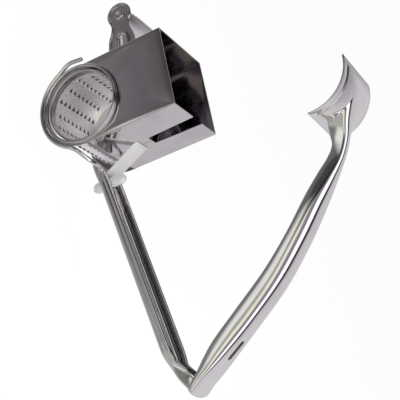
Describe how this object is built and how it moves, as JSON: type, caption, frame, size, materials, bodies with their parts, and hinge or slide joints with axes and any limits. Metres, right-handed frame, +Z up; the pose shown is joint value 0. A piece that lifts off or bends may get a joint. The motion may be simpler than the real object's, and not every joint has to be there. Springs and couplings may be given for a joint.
{
  "type": "rotary cabbage shredder",
  "caption": "Hand cranked drum shredder with an open hopper, a toothed drum, a crank with a knob, and hinged squeeze handles whose curved pusher presses food on to the drum.",
  "frame": {"origin": "centre of the drum outlet, on the outer face of the near side panel", "axes": "+X from the drum towards the handle hinge, +Y along the drum axis from the open end to the crank, +Z up through the hopper mouth"},
  "size_m": [0.3059, 0.1091, 0.2002],
  "materials": {
    "hopper_sheet": "tin bright rolled sheet",
    "drum_sheet": "bright punched sheet",
    "plated_steel": "plated, bright",
    "crank_steel": "pressed sheet, satin",
    "turned_metal": "turned, satin",
    "pin_steel": "turned and riveted"
  },
  "bodies": {
    "frame": {"hopper_near_panel": "hopper_sheet", "hopper_far_panel": "hopper_sheet", "hopper_front_wall": "hopper_sheet", "hopper_back_flange_near": "hopper_sheet", "hopper_back_flange_far": "hopper_sheet", "outlet_ring": "plated_steel", "bearing_bush": "turned_metal", "lower_handle": "plated_steel", "cradle_arm_near": "plated_steel", "cradle_arm_far": "plated_steel", "brace_strap": "plated_steel", "strap_rivet": "pin_steel", "tab_plate": "plated_steel", "hinge_pin": "pin_steel"},
    "drum": {"grater_drum": "drum_sheet", "drum_rim": "drum_sheet", "drum_end_plate": "drum_sheet", "drum_hub": "pin_steel", "spindle": "pin_steel", "crank_lever": "crank_steel", "crank_washer": "pin_steel", "crank_nut": "pin_steel", "knob_post": "pin_steel"},
    "knob": {"knob": "turned_metal"},
    "upper_handle": {"upper_handle": "plated_steel", "pusher_plate": "plated_steel"}
  },
  "joints": [
    {"name": "drum_spin", "type": "hinge", "parent": "frame", "child": "drum", "pos_m": [0, 0.028, 0], "axis": [0, 1, 0], "continuous": true},
    {"name": "knob_spin", "type": "hinge", "parent": "drum", "child": "knob", "pos_m": [-0.09969, 0.085, 0.00785], "axis": [0, 1, 0], "continuous": true},
    {"name": "handle_hinge", "type": "hinge", "parent": "frame", "child": "upper_handle", "pos_m": [0.1865, 0.03, 0.027], "axis": [0, 1, 0], "range_deg": [-46, 12]}
  ]
}
